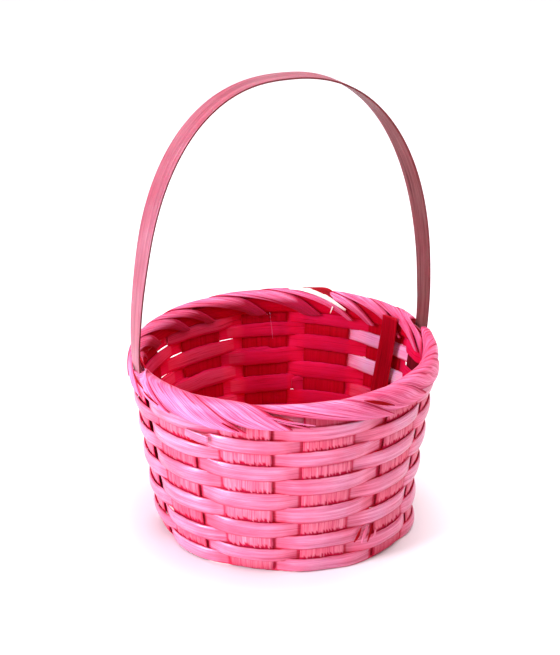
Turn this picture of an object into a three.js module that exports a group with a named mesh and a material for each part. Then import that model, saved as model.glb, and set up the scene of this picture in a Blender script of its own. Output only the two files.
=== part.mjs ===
// A small round woven splint basket with one fixed handle hoop. Millimetres, +Z up,
// the handle spans X, and the basket rests on the underside of its crossed base strips.
// Angles round the basket are measured from the front (-Y) towards the right (+X), in degrees.
import * as THREE from 'three';

// Driving dimensions
const BASE_RADIUS = 62;
const RIM_RADIUS = 75;
const RIM_HEIGHT = 90;
const OVERALL_HEIGHT = 222;
const STRIP_WIDTH = 21.2;
const STRIP_THICKNESS = 1.0;
const WEAVER_THICKNESS = 0.9;
const HANDLE_WIDTH = 12;
const HANDLE_THICKNESS = 1.3;
const CLEARANCE = 0.3;

// Wall shape
const WALL_POWER = 0.85;
const WEAVE_OFFSET = (STRIP_THICKNESS + WEAVER_THICKNESS) / 2 + 0.4;
const WALL_INSET = WEAVE_OFFSET + WEAVER_THICKNESS / 2;
const WEAVER_HEIGHTS = [4.7, 10.3, 16.9, 24.4, 32.3, 40.2, 48.0, 55.5, 62.6, 69.4, 75.8];
const WEAVER_FILL = 0.93;
const WEAVER_FLANK = STRIP_WIDTH / 2 + 0.8;

// Hand-laid stake angles, going round from the front
const STAKE_ANGLES = [-3, 31, 56, 85, 112, 141, 168, 198, 233, 266, 295, 326];
const LEG_STAKES = [3, 9];

// Crossed base: each strip joins two opposite stakes; lane is its offset in strip pitches
const BASE_PITCH = 24.5;
const BASE_FLAT = STRIP_WIDTH / 2 + 0.3;
const BASE_RAMP_END = BASE_PITCH + BASE_FLAT + 3.5;
const BASE_STRIPS = [
  { name: 'stake_strip_y1', along: 'y', lane: -1, from: 11, to: 7 },
  { name: 'stake_strip_y2', along: 'y', lane: 0, from: 0, to: 6 },
  { name: 'stake_strip_y3', along: 'y', lane: 1, from: 1, to: 5 },
  { name: 'stake_strip_x1', along: 'x', lane: -1, from: 10, to: 2 },
  { name: 'stake_strip_x2', along: 'x', lane: 0, from: 9, to: 3 },
  { name: 'stake_strip_x3', along: 'x', lane: 1, from: 8, to: 4 },
];

// Turn-up at the foot of a stake: an arc that ends on the wall
const BEND_RADIUS = 3;
const BEND_STEPS = 3;
const WALL_STATIONS = [12, 30, 52, 72];

// Folded rim: the path of a stake end over the hoop, with how far it has slid round
// and how much of the space between neighbouring stakes it fills
const FOLD_PATH = [
  { radius: 71.9, z: 79.3, shift: 0, spread: 0 },
  { radius: 73.2, z: 81.6, shift: 1, spread: 0.25 },
  { radius: 74.5, z: 84.6, shift: 4, spread: 0.65 },
  { radius: 74.5, z: 87.8, shift: 7, spread: 0.95, slotted: true },
  { radius: 73.4, z: 89.2, shift: 8.5, spread: 1, slotted: true },
  { radius: 71.2, z: 89.5, shift: 9.5, spread: 1, slotted: true },
  { radius: 69.0, z: 89.2, shift: 10.5, spread: 1, slotted: true },
  { radius: 67.8, z: 87.6, shift: 12, spread: 1, slotted: true },
  { radius: 67.7, z: 80.4, shift: 18, spread: 1 },
];
const FOLD_GAP = 1.2;
const FOLD_COLUMNS = [-1, -1 / 3, 1 / 3, 1];

// Rim hoop inside the fold
const HOOP_RADIUS = 69.2;
const HOOP_THICKNESS = 1.0;
const HOOP_BOTTOM = 80.7;
const HOOP_TOP = 87.5;
const HOOP_SEGMENTS = 48;

// Handle
const LEG_ANGLES = [90, 270];
const LEG_BOTTOM = 24;
const LEG_INSET = 1.75;
const LEG_WALL_STATIONS = [24, 40, 58, 76];
const LEG_RIM_PATH = [[70.3, 79.6], [71.2, 82.2], [72.85, 88]];
const LEG_FLANK = 13.4;
const LEG_BULGE = 1.95;
const LEG_LIFT = 0.25;
const SLOT_HALF_ANGLE = 5.3;
const ARCH_START = 100;
const ARCH_HALF_SPAN = 73.35;
const ARCH_POWER = 2.33;
const ARCH_STEPS = 26;

// Inner splint
const SPLINT_ANGLE = 109;
const SPLINT_WIDTH = 11;
const SPLINT_THICKNESS = 0.8;
const SPLINT_PATH = [[65.9, 87.5], [65.9, 78.5], [64.0, 52], [61.7, 26]];

const BLOOM_PINK = new THREE.Color(0.93, 0.33, 0.5);
const DEEP_PINK = new THREE.Color(0.86, 0.22, 0.38);
const CRIMSON = new THREE.Color(0.5, 0.02, 0.09);

const radians = THREE.MathUtils.degToRad;
const degrees = THREE.MathUtils.radToDeg;

function ringPoint(radius, angle, z) {
  const a = radians(angle);
  return new THREE.Vector3(radius * Math.sin(a), -radius * Math.cos(a), z);
}

// Radius of the middle of the stakes at a height on the wall
function stakeRadius(z) {
  const rise = Math.max(z, 0) / RIM_HEIGHT;
  return BASE_RADIUS + (RIM_RADIUS - BASE_RADIUS) * rise ** WALL_POWER - WALL_INSET;
}

function stakeAngle(index) {
  const count = STAKE_ANGLES.length;
  const turns = Math.floor(index / count);
  return STAKE_ANGLES[index - turns * count] + 360 * turns;
}

function arcAngle(length, radius) {
  return degrees(length / radius);
}

// Surface direction at one point of a grid of stations by columns
function gridNormal(grid, i, j, closed) {
  const rows = grid.length;
  const last = grid[0].length - 1;
  const before = closed ? grid[(i + rows - 1) % rows][j] : grid[Math.max(i - 1, 0)][j];
  const after = closed ? grid[(i + 1) % rows][j] : grid[Math.min(i + 1, rows - 1)][j];
  const along = after.clone().sub(before);
  const across = grid[i][Math.min(j + 1, last)].clone().sub(grid[i][Math.max(j - 1, 0)]);
  return along.cross(across).normalize();
}

// A strip of even thickness laid along a grid of stations (rows) by columns
function stripGeometry(grid, thickness, closed = false) {
  const rows = grid.length;
  const columns = grid[0].length;
  const positions = [];
  const triangles = [];
  for (let i = 0; i < rows; i += 1) {
    for (let j = 0; j < columns; j += 1) {
      const offset = gridNormal(grid, i, j, closed).multiplyScalar(thickness / 2);
      positions.push(...grid[i][j].clone().add(offset).toArray());
      positions.push(...grid[i][j].clone().sub(offset).toArray());
    }
  }
  const top = (i, j) => 2 * ((i % rows) * columns + j);
  const under = (i, j) => top(i, j) + 1;
  const quad = (a, b, c, d) => triangles.push(a, b, c, a, c, d);
  const spans = closed ? rows : rows - 1;
  const edge = columns - 1;
  for (let i = 0; i < spans; i += 1) {
    for (let j = 0; j < edge; j += 1) {
      quad(top(i, j), top(i + 1, j), top(i + 1, j + 1), top(i, j + 1));
      quad(under(i, j), under(i, j + 1), under(i + 1, j + 1), under(i + 1, j));
    }
    quad(top(i, 0), under(i, 0), under(i + 1, 0), top(i + 1, 0));
    quad(top(i, edge), top(i + 1, edge), under(i + 1, edge), under(i, edge));
  }
  if (!closed) {
    const end = rows - 1;
    for (let j = 0; j < edge; j += 1) {
      quad(top(0, j), top(0, j + 1), under(0, j + 1), under(0, j));
      quad(top(end, j), under(end, j), under(end, j + 1), top(end, j + 1));
    }
  }
  const geometry = new THREE.BufferGeometry();
  geometry.setAttribute('position', new THREE.Float32BufferAttribute(positions, 3));
  geometry.setIndex(triangles);
  return geometry;
}

function makeMesh(name, geometry, color) {
  const flat = geometry.toNonIndexed();
  flat.computeVertexNormals();
  const material = new THREE.MeshStandardMaterial({ color, roughness: 0.55 });
  const mesh = new THREE.Mesh(flat, material);
  mesh.name = name;
  return mesh;
}

// Angle halfway between a stake and the next one round
function seamAngle(index) {
  return (stakeAngle(index) + stakeAngle(index + 1)) / 2;
}

// Left and right edges of a stake's folded end, kept clear of the handle legs
function foldEdges(stake, station) {
  const half = arcAngle(STRIP_WIDTH / 2, station.radius);
  const gap = arcAngle(FOLD_GAP / 2, station.radius);
  const mix = THREE.MathUtils.lerp;
  const centre = stakeAngle(stake) - station.shift;
  let left = mix(centre - half, seamAngle(stake - 1) - station.shift + gap, station.spread);
  let right = mix(centre + half, seamAngle(stake) - station.shift - gap, station.spread);
  if (station.slotted) {
    for (const leg of LEG_ANGLES) {
      if (left < leg + SLOT_HALF_ANGLE && right > leg + SLOT_HALF_ANGLE) {
        left = leg + SLOT_HALF_ANGLE;
      }
      if (right > leg - SLOT_HALF_ANGLE && left < leg - SLOT_HALF_ANGLE) {
        right = leg - SLOT_HALF_ANGLE;
      }
    }
  }
  return [left, right];
}

function foldRow(stake, station, columns) {
  const [left, right] = foldEdges(stake, station);
  return columns.map((u) => {
    const angle = THREE.MathUtils.lerp(left, right, (u + 1) / 2);
    return ringPoint(station.radius, angle, station.z);
  });
}

function wallRow(stake, radius, z, columns) {
  const half = arcAngle(STRIP_WIDTH / 2, radius);
  return columns.map((u) => ringPoint(radius, stakeAngle(stake) + u * half, z));
}

// Rows of one stake, from the inner end of its fold down to the foot of its turn-up
function stakeRows(stake, columns) {
  const rows = FOLD_PATH.map((station) => foldRow(stake, station, columns)).reverse();
  for (const z of [...WALL_STATIONS].reverse()) {
    rows.push(wallRow(stake, stakeRadius(z), z, columns));
  }
  const low = STRIP_THICKNESS / 2;
  const bendTop = low + BEND_RADIUS;
  const bendCentre = stakeRadius(bendTop) - BEND_RADIUS;
  for (let step = 0; step <= BEND_STEPS; step += 1) {
    const turn = (Math.PI / 2) * (step / BEND_STEPS);
    const radius = bendCentre + BEND_RADIUS * Math.cos(turn);
    const z = bendTop - BEND_RADIUS * Math.sin(turn);
    rows.push(wallRow(stake, radius, z, columns));
  }
  return rows;
}

// Rows across the crossed base, alternately over and under the three strips they meet
function baseRows(strip, columns) {
  const low = STRIP_THICKNESS / 2;
  const high = low + STRIP_THICKNESS + CLEARANCE;
  const stations = [{ s: -BASE_RAMP_END, z: low }];
  for (const crossing of [-1, 0, 1]) {
    const odd = (crossing + strip.lane) % 2 !== 0;
    const over = strip.along === 'y' ? odd : !odd;
    const z = over ? high : low;
    stations.push({ s: crossing * BASE_PITCH - BASE_FLAT, z });
    stations.push({ s: crossing * BASE_PITCH + BASE_FLAT, z });
  }
  stations.push({ s: BASE_RAMP_END, z: low });
  return stations.map(({ s, z }) => columns.map((u) => {
    const side = u * (STRIP_WIDTH / 2);
    const lane = strip.lane * BASE_PITCH;
    return strip.along === 'y'
      ? new THREE.Vector3(lane + side, s, z)
      : new THREE.Vector3(s, lane - side, z);
  }));
}

// One long strip: stake, base, opposite stake. The far end's columns run the other way.
function stakeStrip(strip) {
  const columns = FOLD_COLUMNS;
  const mirrored = columns.map((u) => -u);
  const grid = [
    ...stakeRows(strip.from, columns),
    ...baseRows(strip, columns),
    ...stakeRows(strip.to, mirrored).reverse(),
  ];
  return makeMesh(strip.name, stripGeometry(grid, STRIP_THICKNESS), DEEP_PINK);
}

function weaverHalfHeight(row) {
  const z = WEAVER_HEIGHTS;
  const below = row > 0 ? z[row] - z[row - 1] : Infinity;
  const above = row < z.length - 1 ? z[row + 1] - z[row] : Infinity;
  return (WEAVER_FILL * Math.min(below, above)) / 2;
}

// Stations round one weaver: over or under each stake in turn, bulging in past a handle leg
function weaverStations(row) {
  const z = WEAVER_HEIGHTS[row];
  const radius = stakeRadius(z);
  const flank = arcAngle(WEAVER_FLANK, radius);
  const legFlank = arcAngle(LEG_FLANK, radius);
  const reachesLeg = (stake) => LEG_STAKES.includes(stake % STAKE_ANGLES.length) && z > LEG_BOTTOM - 5;
  const rightFlank = (stake) => (reachesLeg(stake) ? legFlank : flank);
  const stations = [];
  for (let stake = 0; stake < STAKE_ANGLES.length; stake += 1) {
    const outside = (stake + row) % 2 === 0;
    const offset = outside ? WEAVE_OFFSET : -WEAVE_OFFSET;
    const passLeg = outside ? LEG_LIFT : -LEG_BULGE;
    const past = reachesLeg(stake) ? offset + passLeg : offset;
    const angle = stakeAngle(stake);
    const right = angle + rightFlank(stake);
    stations.push({ angle: angle - flank, offset });
    stations.push({ angle, offset: past });
    stations.push({ angle: right, offset: past });
    stations.push({ angle: (right + stakeAngle(stake + 1) - flank) / 2, offset: 0 });
  }
  return stations;
}

function weaver(row) {
  const z = WEAVER_HEIGHTS[row];
  const half = weaverHalfHeight(row);
  const grid = weaverStations(row).map(({ angle, offset }) => [
    ringPoint(stakeRadius(z - half) + offset, angle, z - half),
    ringPoint(stakeRadius(z + half) + offset, angle, z + half),
  ]);
  const name = `weaver_${String(row + 1).padStart(2, '0')}`;
  return makeMesh(name, stripGeometry(grid, WEAVER_THICKNESS, true), BLOOM_PINK);
}

function rimHoop() {
  const grid = [];
  for (let i = 0; i < HOOP_SEGMENTS; i += 1) {
    const angle = (360 * i) / HOOP_SEGMENTS;
    grid.push([ringPoint(HOOP_RADIUS, angle, HOOP_BOTTOM), ringPoint(HOOP_RADIUS, angle, HOOP_TOP)]);
  }
  return makeMesh('rim_hoop', stripGeometry(grid, HOOP_THICKNESS, true), DEEP_PINK);
}

// Side view of the handle's right half, from the foot of the leg to just short of the top
function legProfile() {
  const profile = LEG_WALL_STATIONS.map((z) => [stakeRadius(z) - LEG_INSET, z]);
  profile.push(...LEG_RIM_PATH);
  return profile;
}

function archProfile() {
  const rise = OVERALL_HEIGHT - HANDLE_THICKNESS / 2 - ARCH_START;
  const power = 2 / ARCH_POWER;
  const profile = [];
  for (let step = 0; step <= ARCH_STEPS; step += 1) {
    const turn = Math.PI * (step / ARCH_STEPS);
    const across = Math.cos(turn);
    const lift = Math.max(Math.sin(turn), 0);
    const x = Math.sign(across) * Math.abs(across) ** power * ARCH_HALF_SPAN;
    profile.push([x, ARCH_START + rise * lift ** power]);
  }
  return profile;
}

function handle() {
  const leg = legProfile();
  const profile = [
    ...leg,
    ...archProfile(),
    ...leg.map(([x, z]) => [-x, z]).reverse(),
  ];
  const half = HANDLE_WIDTH / 2;
  const grid = profile.map(([x, z]) => [new THREE.Vector3(x, half, z), new THREE.Vector3(x, -half, z)]);
  return makeMesh('handle', stripGeometry(grid, HANDLE_THICKNESS), BLOOM_PINK);
}

function innerSplint() {
  const out = ringPoint(1, SPLINT_ANGLE, 0);
  const side = new THREE.Vector3(-out.y, out.x, 0).multiplyScalar(SPLINT_WIDTH / 2);
  const grid = SPLINT_PATH.map(([radius, z]) => {
    const centre = out.clone().multiplyScalar(radius).setZ(z);
    return [centre.clone().sub(side), centre.clone().add(side)];
  });
  return makeMesh('inner_splint', stripGeometry(grid, SPLINT_THICKNESS), CRIMSON);
}

// Slide the whole basket so its bounding box is centred over the origin
function centre(group) {
  const box = new THREE.Box3().setFromObject(group);
  const middle = box.getCenter(new THREE.Vector3());
  for (const mesh of group.children) {
    mesh.geometry.translate(-middle.x, -middle.y, -box.min.z);
  }
}

function buildBasket() {
  const group = new THREE.Group();
  group.name = 'woven_basket';
  group.add(...BASE_STRIPS.map(stakeStrip));
  group.add(...WEAVER_HEIGHTS.map((_, row) => weaver(row)));
  group.add(rimHoop(), handle(), innerSplint());
  centre(group);
  return group;
}

export default buildBasket();
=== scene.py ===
"""A small round basket woven from dyed splints, with one fixed arched handle.

Lengths below are in millimetres unless a comment says otherwise, and become metres when a mesh is made.
Angles round the basket are in degrees from the front (-Y) towards the right (+X), as in the CAD part.
"""

import math

import bpy
import numpy as np
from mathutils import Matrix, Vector


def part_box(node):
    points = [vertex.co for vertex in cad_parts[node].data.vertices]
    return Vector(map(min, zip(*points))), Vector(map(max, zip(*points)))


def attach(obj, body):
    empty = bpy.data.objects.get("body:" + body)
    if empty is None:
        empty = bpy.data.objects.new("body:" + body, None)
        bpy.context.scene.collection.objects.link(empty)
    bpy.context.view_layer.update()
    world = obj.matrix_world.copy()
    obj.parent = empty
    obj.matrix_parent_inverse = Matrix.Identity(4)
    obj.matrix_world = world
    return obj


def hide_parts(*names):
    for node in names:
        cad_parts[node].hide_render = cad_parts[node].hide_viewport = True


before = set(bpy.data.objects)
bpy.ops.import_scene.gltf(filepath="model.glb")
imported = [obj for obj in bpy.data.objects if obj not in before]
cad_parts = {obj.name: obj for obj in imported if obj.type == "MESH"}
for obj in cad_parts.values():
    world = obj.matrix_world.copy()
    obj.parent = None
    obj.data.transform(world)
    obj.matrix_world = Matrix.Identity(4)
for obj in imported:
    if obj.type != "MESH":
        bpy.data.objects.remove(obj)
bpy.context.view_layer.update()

# ---------------------------------------------------------------------------------------------
# Dimensions

# The wall: radii of its outside, its height, where the rim's folds begin, the curve of its
# outline, and how far inside it the middle of the stakes runs.
BASE_RADIUS = 62.0
RIM_RADIUS = 75.0
RIM_HEIGHT = 90.0
RIM_FOOT = 79.0
WALL_POWER = 0.85
WALL_INSET = 2.2

# Stakes, and how much deeper than the rest each one is dyed, from 0 to 1.
STAKE_ANGLES = [-3, 31, 56, 85, 112, 141, 168, 198, 233, 266, 295, 326]
STAKES = len(STAKE_ANGLES)
STAKE_DYE = [0.08, 0.15, 0.1, 0.1, 0.1, 0.1, 0.1, 0.1, 0.1, 0.2, 0.3, 0.0]
STAKE_HALF_LOW = 10.6
STAKE_HALF_HIGH = 12.0
STAKE_WIDENS = 70.0
STAKE_THICKNESS = 0.9
STAKE_COLUMNS = 33
STAKE_TOP = [(70.9, 87.6), (71.2, 84.0), (71.2, 79.6)]
STAKE_FOOT = 8.0
STAKE_STEP = 3.4
STAKE_GIVE = 0.3
STAKE_BEND = 3.5

# Weavers. Each starts at its own angle, and its ends lap.
WEAVER_HEIGHTS = [3.9, 10.3, 16.9, 24.4, 32.3, 40.2, 48.0, 55.5, 62.6, 69.4, 75.8]
ROW_LIMITS = (-3.0, 82.0)
WEAVER_THICKNESS = 0.8
WEAVER_STATIONS = 840
WEAVER_COLUMNS = 15
WEAVER_FOOT = 0.15
WEAVE_DEPTH = 1.95
WEAVE_SKEW = 0.07
WEAVER_CAMBER = 0.9
WEAVER_STARTS = [150, 182, 216, 100, 248, 130, 205, 165, 240, 311, 190]
# How a weaver wanders along its way: wavelength and size of its rise, half height, roll, nicks.
RISE_WANDER = (160.0, 0.35)
HALF_WANDER = (60.0, 0.16)
ROLL_WANDER = (75.0, 0.18)
NICK_WANDER = (9.0, 0.10)
LAP_DEGREES = 26.0
LAP_FADE = 8.0
LAP_DEPTH = 0.45

# Half a weaver's height as a share of its row's: on most of the wall, behind, and at the crests.
FILL = 0.55
FILL_BEHIND = 0.52
FILL_CREST = 0.57
BEHIND_ANGLE = 195.0

# The handle's legs, and the room they need in the weave and in the rim.
LEG_ANGLES = (90.0, 270.0)
LEG_SLOT = 5.2
LEG_NEAR = 4.5
LEG_BULGE = 1.7
LEG_PRESS = 0.25
LEG_BOTTOM = 24.0
LEG_INSET = 1.45
LEG_TOP = [(70.3, 79.6), (71.2, 82.2), (72.7, 88.0)]

# The handle: two legs and an arch whose outline is a superellipse.
HANDLE_WIDTH = 12.0
HANDLE_COLUMNS = 17
HANDLE_THICKNESS = 0.9
HANDLE_TOP = 222.0
ARCH_START = 100.0
ARCH_HALF_SPAN = 73.35
ARCH_POWER = 2.33
ARCH_FOOT = 88.0
ARCH_SHOULDER = 120.0
ARCH_SAG = 0.9
HANDLE_LEAN = 2.2
HANDLE_TWIST = 7.0
HANDLE_SWELL = 8.0

# The dark upright inside. Its way down: radius, height, degrees it leans, slant of its end.
SPLINT_ANGLE = 108.5
SPLINT_WIDTH = 11.5
SPLINT_THICKNESS = 0.8
SPLINT_PATH = np.array(
    [
        (65.8, 88.0, -3.2, -0.6),
        (65.9, 78.5, -2.2, -0.3),
        (64.2, 52.0, 0.8, 0.0),
        (61.8, 26.0, 3.0, 0.0),
    ]
)

# The flat hoop inside the rim.
HOOP_RADIUS = 69.35
HOOP_HEIGHT = 83.1
HOOP_HALF = 4.3
HOOP_THICKNESS = 0.7
HOOP_START = 40.0
HOOP_LAP = 15.0
HOOP_LAP_DEPTH = 0.35
HOOP_FIRST_FADE = 16.0
HOOP_LAST_START = 359.0
HOOP_LAST_FADE = 12.0

# The woven base.
BASE_PITCH = 24.5
BASE_HALF = 11.8
BASE_LIFT = 0.12
CROSSING_GAP = 0.25
BASE_LOW = BASE_LIFT + STAKE_THICKNESS / 2.0
BASE_HIGH = BASE_LOW + STAKE_THICKNESS + CROSSING_GAP

# Painted light inside: a lit patch on the back right wall, and a lighter side at the back left.
PAINTED_LIGHT_ANGLE = 111.0
PAINTED_SIDE_LIGHT_ANGLE = 232.0

# The camera's angle round the basket. The rim's tilt goes from its left to its right.
VIEW_ANGLE = -20.0

# Hand-made unevenness: the rim's tilt and oval, and a swelling at the foot of the wall.
RIM_TILT = 0.0148
OVAL = 0.006
OVAL_TURN = 0.9
BULGE = 0.06
BULGE_ANGLE = 36.0
BULGE_HEIGHT = 24.0
FLOOR_GAP = 0.02

# Low ridges along the fibres: the waves they are made of, how they drift sideways, their
# largest random phase, their share on a strip's under face, and their height on each strip.
RIDGE_WAVES = (4.3, 2.6, 1.7)
RIDGE_DRIFT = (90.0, 0.6)
RIDGE_PHASES = 6.28
UNDER_RIDGES = 0.6
USUAL_RIDGE = 0.03
STAKE_RIDGE = 0.06
LEAF_RIDGE = 0.05
HANDLE_RIDGE = 0.04
LOOSE_RIDGE = 0.02

# Length of a strip between two stations of its fine mesh.
STAKE_MESH_STEP = 1.1
LEAF_MESH_STEP = 0.9
LOOSE_MESH_STEP = 0.8
HANDLE_MESH_STEP = 1.4
SPLINT_MESH_STEP = 1.2

# Each strip has its own place in the grain, and its under face another.
UV_SPREAD = 500.0
UNDER_UV = (40.0, 300.0)

MM = 0.001
random = np.random.default_rng(20)
TEETH = np.random.default_rng(5)
SPLITS = np.random.default_rng(11)

# ---------------------------------------------------------------------------------------------
# Shape helpers


def mix(a, b, t):
    """The value at t, from 0 to 1, on the way from a to b."""
    return a + (b - a) * t


def smooth(t):
    """A soft step from 0 to 1 as t goes from 0 to 1."""
    t = np.clip(t, 0.0, 1.0)
    return t * t * (3.0 - 2.0 * t)


def ring_point(radius, angle, z):
    """Points at a radius and an angle round the basket, as an (..., 3) array."""
    radius, angle, z = np.broadcast_arrays(radius, np.radians(angle), z)
    return np.stack([radius * np.sin(angle), -radius * np.cos(angle), z], axis=-1).astype(float)


def stake_radius(z):
    """Radius of the middle of the stakes at a height on the wall."""
    rise = np.maximum(z, 0.0) / RIM_HEIGHT
    return BASE_RADIUS + (RIM_RADIUS - BASE_RADIUS) * rise**WALL_POWER - WALL_INSET


def stake_angle(index):
    """Angle of a stake, counted on past a whole turn and before the first one."""
    return STAKE_ANGLES[index % STAKES] + 360.0 * (index // STAKES)


def arc_angle(length, radius):
    """Degrees that a length takes up on a circle."""
    return np.degrees(length / radius)


def turn_between(angles, angle):
    """Degrees from each angle to one angle, the shorter way round."""
    return np.abs((angles - angle + 180.0) % 360.0 - 180.0)


def wander(length, wavelength, size, draws=5):
    """A smooth random curve over an array of distances."""
    total = np.zeros_like(length, dtype=float)
    for draw in range(draws):
        wave = wavelength / (1.0 + 0.7 * draw)
        phase = random.uniform(0.0, 2.0 * math.pi)
        total += np.sin(2.0 * math.pi * length / wave + phase) / (1.0 + draw)
    return size * total / 1.6


# The CAD part is centred on its bounding box; its handle says by how much.
HANDLE_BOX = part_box("handle")
SHIFT = [(HANDLE_BOX[0][axis] + HANDLE_BOX[1][axis]) / 2.0 / MM for axis in (0, 1)]
RIGHT = ring_point(1.0, VIEW_ANGLE + 90.0, 0.0)


def settle(points):
    """Hand-made unevenness, shared by every piece, with no point let below the floor.

    The rim is higher on one side and slightly oval, and the foot of the wall swells on one side.
    """
    out = np.array(points, dtype=float)
    side = out @ RIGHT
    lift = np.clip(out[..., 2] / RIM_HEIGHT, 0.0, 1.0)
    angle = np.arctan2(out[..., 0], -out[..., 1])
    stretch = 1.0 + OVAL * lift * np.cos(2.0 * angle + OVAL_TURN)
    facing = smooth((np.cos(angle - math.radians(BULGE_ANGLE)) - 0.8) / 0.18)
    stretch = stretch + BULGE * facing * (1.0 - smooth(out[..., 2] / BULGE_HEIGHT))
    out[..., 2] = np.maximum(out[..., 2] + RIM_TILT * side * lift, FLOOR_GAP)
    out[..., 0] = out[..., 0] * stretch + SHIFT[0]
    out[..., 1] = out[..., 1] * stretch + SHIFT[1]
    return out


def curve_point(first, last, leaving, arriving, t):
    """The points at t, from 0 to 1, on cubic curves with given tangents at both ends."""
    return (
        (2 * t**3 - 3 * t**2 + 1) * first
        + (t**3 - 2 * t**2 + t) * leaving
        + (-2 * t**3 + 3 * t**2) * last
        + (t**3 - t**2) * arriving
    )


def refine(grid, step):
    """More stations along a coarse grid of stations by columns, on smooth curves through it."""
    lengths = np.linalg.norm(np.diff(grid[:, grid.shape[1] // 2], axis=0), axis=1)
    rows = [grid[:1]]
    padded = np.concatenate([2 * grid[:1] - grid[1:2], grid, 2 * grid[-1:] - grid[-2:-1]])
    for i, length in enumerate(lengths):
        p0, p1, p2, p3 = padded[i], padded[i + 1], padded[i + 2], padded[i + 3]
        before = lengths[i - 1] if i > 0 else length
        after = lengths[i + 1] if i + 1 < len(lengths) else length
        leaving = (p2 - p0) * (length / (length + before))
        arriving = (p3 - p1) * (length / (length + after))
        count = max(1, round(length / step))
        for number in range(1, count + 1):
            rows.append(curve_point(p1, p2, leaving, arriving, number / count)[None])
    return np.concatenate(rows)


def grid_normals(grid):
    """The unit normal of a grid of points at each point."""
    along = np.gradient(grid, axis=0)
    across = np.gradient(grid, axis=1)
    normal = np.cross(along, across)
    return normal / np.maximum(np.linalg.norm(normal, axis=-1, keepdims=True), 1e-9)


def edge_profile(columns, least):
    """Half thickness across a strip, from 0 to 1, rounded off to a least value at both edges."""
    v = np.abs(np.linspace(-1.0, 1.0, columns))
    return np.maximum((1.0 - v**7) ** 0.5, least)


def fibre_ridges(u, v, size):
    """Low ridges that run along a strip, wandering slowly sideways. Lengths are in millimetres."""
    total = np.zeros_like(u)
    for wave in RIDGE_WAVES:
        drift = wander(u, *RIDGE_DRIFT, draws=2)
        phase = random.uniform(0, RIDGE_PHASES)
        total += np.sin(2.0 * math.pi * (v + drift) / wave + phase) * wave
    return size * total / sum(RIDGE_WAVES)


def strip_quads(rows, columns, edge_slot):
    """The faces of a closed strip, outer face, under face and four edges, with their materials."""
    index = np.arange(rows * columns).reshape(rows, columns)
    other = index + rows * columns
    blocks = [
        (index[:-1, :-1], index[1:, :-1], index[1:, 1:], index[:-1, 1:], 0),
        (other[:-1, :-1], other[:-1, 1:], other[1:, 1:], other[1:, :-1], 1),
        (index[:-1, 0], other[:-1, 0], other[1:, 0], index[1:, 0], edge_slot),
        (index[:-1, -1], index[1:, -1], other[1:, -1], other[:-1, -1], edge_slot),
        (index[0, :-1], index[0, 1:], other[0, 1:], other[0, :-1], edge_slot),
        (index[-1, :-1], other[-1, :-1], other[-1, 1:], index[-1, 1:], edge_slot),
    ]
    quads = [np.stack(block[:4], axis=-1).reshape(-1, 4) for block in blocks]
    slots = [np.full(len(part), block[4]) for part, block in zip(quads, blocks)]
    return np.concatenate(quads), np.concatenate(slots)


def quad_object(name, points, quads, slots, uv, shade, materials):
    """A smooth object in the scene, from arrays with one row per point or face."""
    mesh = bpy.data.meshes.new(name)
    mesh.vertices.add(len(points))
    mesh.vertices.foreach_set("co", points.astype(np.float32).ravel())
    mesh.loops.add(quads.size)
    mesh.loops.foreach_set("vertex_index", quads.astype(np.int32).ravel())
    mesh.polygons.add(len(quads))
    mesh.polygons.foreach_set("loop_start", np.arange(0, quads.size, 4, dtype=np.int32))
    mesh.polygons.foreach_set("material_index", slots.astype(np.int32))
    mesh.update(calc_edges=True)
    mesh.polygons.foreach_set("use_smooth", np.ones(len(quads), bool))
    layer = mesh.uv_layers.new(name="strip")
    layer.data.foreach_set("uv", uv[quads.ravel()].astype(np.float32).ravel())
    layer = mesh.attributes.new("shade", "FLOAT", "POINT")
    layer.data.foreach_set("value", np.clip(shade, 0.0, 1.0).astype(np.float32))
    for material in materials:
        mesh.materials.append(material)
    piece = bpy.data.objects.new(name, mesh)
    bpy.context.scene.collection.objects.link(piece)
    return piece


def strip_piece(
    name,
    grid,
    thickness,
    materials,
    ridge=USUAL_RIDGE,
    shade=1.0,
    under_shade=None,
    squeeze=1.0,
    edge_slot=0,
    edge_thickness=0.12,
):
    """A strip of even thickness laid on a fine grid of stations by columns, as one closed mesh.

    The first material is on the face that the grid's normals point out of, the second on the
    other. The UV map holds millimetres along and across the strip; squeeze corrects the second
    one where the rows of the grid cross the fibres at a slant. The shade of a point is painted
    shade: 1 in the open and 0 deep in a crevice. It also carries painted light inside the basket
    and the deeper dye of some stakes.
    """
    rows, columns = grid.shape[:2]
    steps = np.linalg.norm(np.diff(grid, axis=0), axis=-1).mean(axis=1)
    u = np.concatenate([[0.0], np.cumsum(steps)])[:, None] * np.ones((1, columns))
    widths = np.linalg.norm(np.diff(grid, axis=1), axis=-1).mean(axis=0)
    v = np.concatenate([[0.0], np.cumsum(widths)])[None, :] * np.ones((rows, 1)) * squeeze
    half = thickness / 2.0 * edge_profile(columns, edge_thickness)[None, :]
    ridges = fibre_ridges(u, v, ridge)
    normal = grid_normals(grid)
    top = settle(grid + normal * (half + ridges)[..., None])
    under = settle(grid - normal * (half - ridges * UNDER_RIDGES)[..., None])
    points = np.concatenate([top.reshape(-1, 3), under.reshape(-1, 3)]) * MM

    top_uv = np.stack([u, v], axis=-1).reshape(-1, 2)
    uv = np.concatenate([top_uv, top_uv + UNDER_UV]) + random.uniform(0.0, UV_SPREAD, 2)
    if under_shade is None:
        under_shade = shade
    shades = [np.broadcast_to(one, (rows, columns)).ravel() for one in (shade, under_shade)]
    quads, slots = strip_quads(rows, columns, edge_slot)
    return quad_object(name, points, quads, slots, uv, np.concatenate(shades), materials)


# ---------------------------------------------------------------------------------------------
# Materials


def new_node(tree, kind, place=(0, 0), **values):
    node = tree.nodes.new(kind)
    node.location = place
    for key, value in values.items():
        setattr(node, key, value)
    return node
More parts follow.
